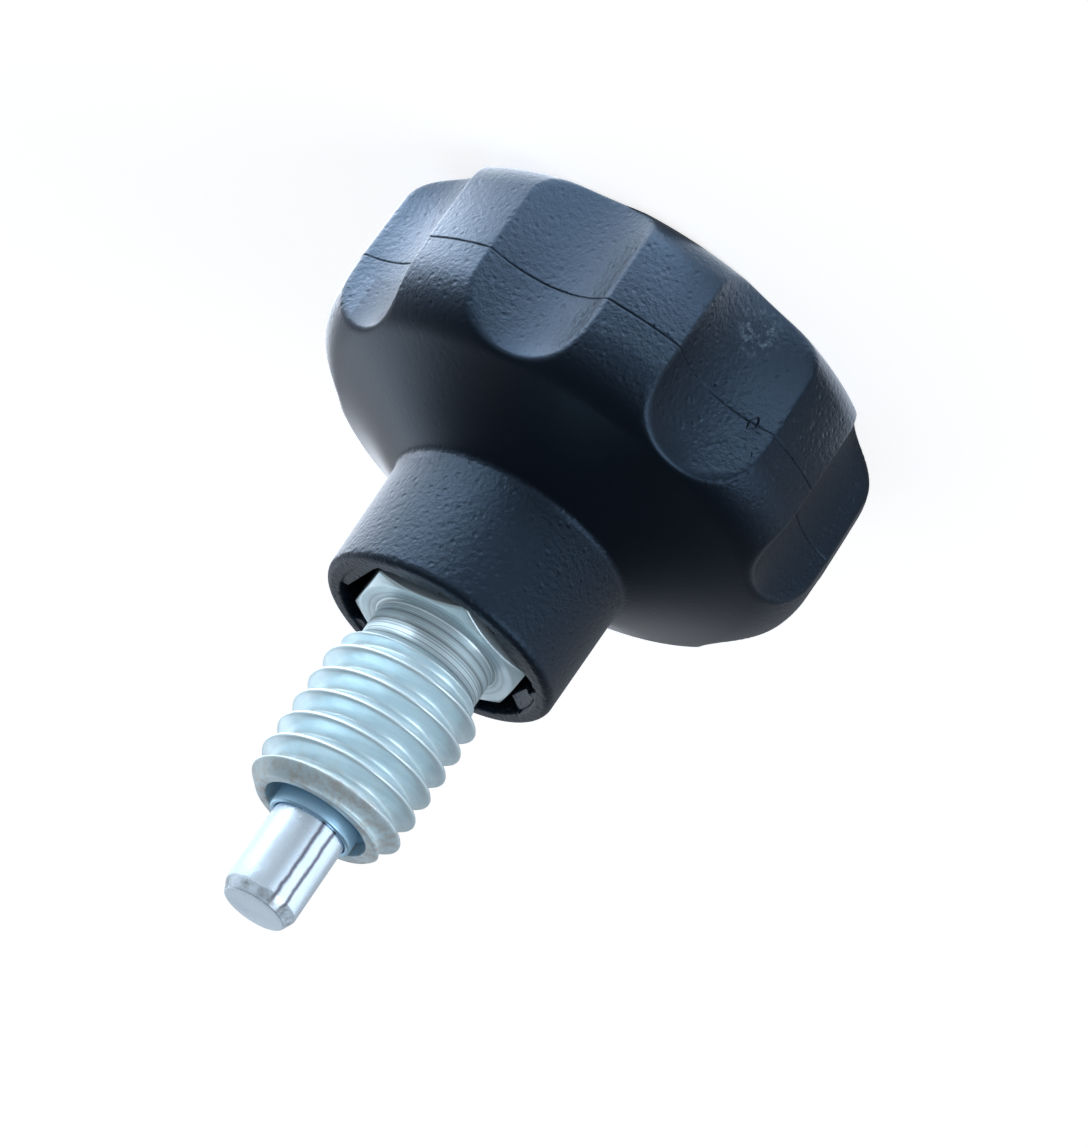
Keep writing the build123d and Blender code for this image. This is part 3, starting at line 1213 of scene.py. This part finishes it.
def make_floor():
    """A white card under the part, wide enough to fill the view."""
    signs = [(-1, -1), (1, -1), (1, 1), (-1, 1)]
    corners = [(x * floor_half, y * floor_half, -floor_drop) for x, y in signs]
    mesh = bpy.data.meshes.new("floor")
    mesh.from_pydata(corners, [], [(0, 1, 2, 3)])
    mesh.materials.append(white_card())
    floor = bpy.data.objects.new("floor", mesh)
    bpy.context.scene.collection.objects.link(floor)


def rectangle_lamp(name, width, height, radiance):
    """A rectangular lamp of a radiance, that the camera doesn't see."""
    lamp = bpy.data.lights.new(name, "AREA")
    lamp.shape = "RECTANGLE"
    lamp.size = width
    lamp.size_y = height
    lamp.energy = radiance * math.pi * width * height
    lamp.color = linear(lamp_colour)[:3]
    light = bpy.data.objects.new(name, lamp)
    light.visible_camera = False
    bpy.context.scene.collection.objects.link(light)
    return light


def floor_panel(name, azimuth, near, far, width, radiance):
    """A light panel that lies on the floor and faces up, from near to far along the azimuth."""
    light = rectangle_lamp(name, far - near, width, radiance)
    a = math.radians(azimuth)
    light.location = Vector((math.cos(a), math.sin(a), 0)) * (near + far) / 2 + panel_height
    light.rotation_euler = (math.pi, 0, a)


def soft_light(name, azimuth, elevation, distance, width, height, strength):
    """A rectangular soft light that faces the part from an azimuth and elevation. The strength is
    what it lights a surface that faces it with."""
    a, e = math.radians(azimuth), math.radians(elevation)
    towards = Vector((math.cos(a) * math.cos(e), math.sin(a) * math.cos(e), math.sin(e)))
    light = rectangle_lamp(name, width, height, strength * distance**2 / (width * height))
    light.location = light_aim + towards * distance
    light.rotation_euler = towards.to_track_quat("Z", "Y").to_euler()


def make_world():
    """A studio that is white to the camera. The part sees it pale near the horizon, more so
    towards +X, and dark overhead, where there is no lamp."""
    world = bpy.data.worlds.new("studio")
    bpy.context.scene.world = world
    world.use_nodes = True
    tree = world.node_tree
    tree.nodes.clear()
    rays = add(tree, "ShaderNodeLightPath").outputs
    way = add(tree, "ShaderNodeTexCoord").outputs["Generated"]
    split = add(tree, "ShaderNodeSeparateXYZ", [(way, "Vector")]).outputs
    wall = add(
        tree,
        "ShaderNodeMapRange",
        [(split["Z"], "Value")],
        interpolation_type="SMOOTHSTEP",
        From_Min=0.05,
        From_Max=0.75,
        To_Min=0.95,
        To_Max=0.13,
    )
    side = add(
        tree, "ShaderNodeMapRange", [(split["X"], "Value")], From_Min=-0.5, From_Max=0.4, To_Min=0.45
    )
    lit = add(
        tree, "ShaderNodeMath", [(wall.outputs[0], 0), (side.outputs[0], 1)], operation="MULTIPLY"
    )
    seen = add(
        tree,
        "ShaderNodeMix",
        [(rays["Is Camera Ray"], "Factor"), (lit.outputs[0], "A")],
        data_type="FLOAT",
        B=1.0,
    )
    sky = add(
        tree, "ShaderNodeBackground", [(seen.outputs[0], "Strength")], Color=linear("#f3f8ff")
    )
    add(tree, "ShaderNodeOutputWorld", [(sky.outputs[0], "Surface")])


# The photograph's view, in its own frame of 1088 by 1148 pixels
photo_height = 1148
view_azimuth = math.radians(-91.6)  # where the camera stands
view_elevation = math.radians(22.49)
pin_lean = math.radians(145.75)  # from straight up to the pin's direction in the picture, to the left
view_distance = 426.43
view_centre = Vector((-2.82, 0, 15.78))  # on the camera's axis
focal_pixels = 7584
sensor_height = 36.0


def make_camera():
    """The camera, turned about its own axis so that the pin points down and to the left."""
    a, e = view_azimuth, view_elevation
    back = Vector((math.cos(a) * math.cos(e), math.sin(a) * math.cos(e), math.sin(e)))
    level_up = Vector((-math.cos(a) * math.sin(e), -math.sin(a) * math.sin(e), math.cos(e)))
    level_right = level_up.cross(back)
    right = math.cos(pin_lean) * level_right - math.sin(pin_lean) * level_up
    up = math.sin(pin_lean) * level_right + math.cos(pin_lean) * level_up
    camera = bpy.data.objects.new("camera", bpy.data.cameras.new("camera"))
    camera.data.sensor_fit = "VERTICAL"
    camera.data.sensor_height = sensor_height
    camera.data.lens = focal_pixels / photo_height * sensor_height
    camera.data.clip_start = 0.05
    camera.data.clip_end = 20
    turn = Matrix((right, up, back)).transposed().to_4x4()
    camera.matrix_world = Matrix.Translation((view_centre + back * view_distance) * MM) @ turn
    bpy.context.scene.collection.objects.link(camera)
    bpy.context.scene.camera = camera


make_floor()
for panel in floor_panels:
    floor_panel(*panel)
for light in soft_lights:
    soft_light(*light)
make_world()
make_camera()
bpy.context.scene.view_settings.view_transform = "Standard"
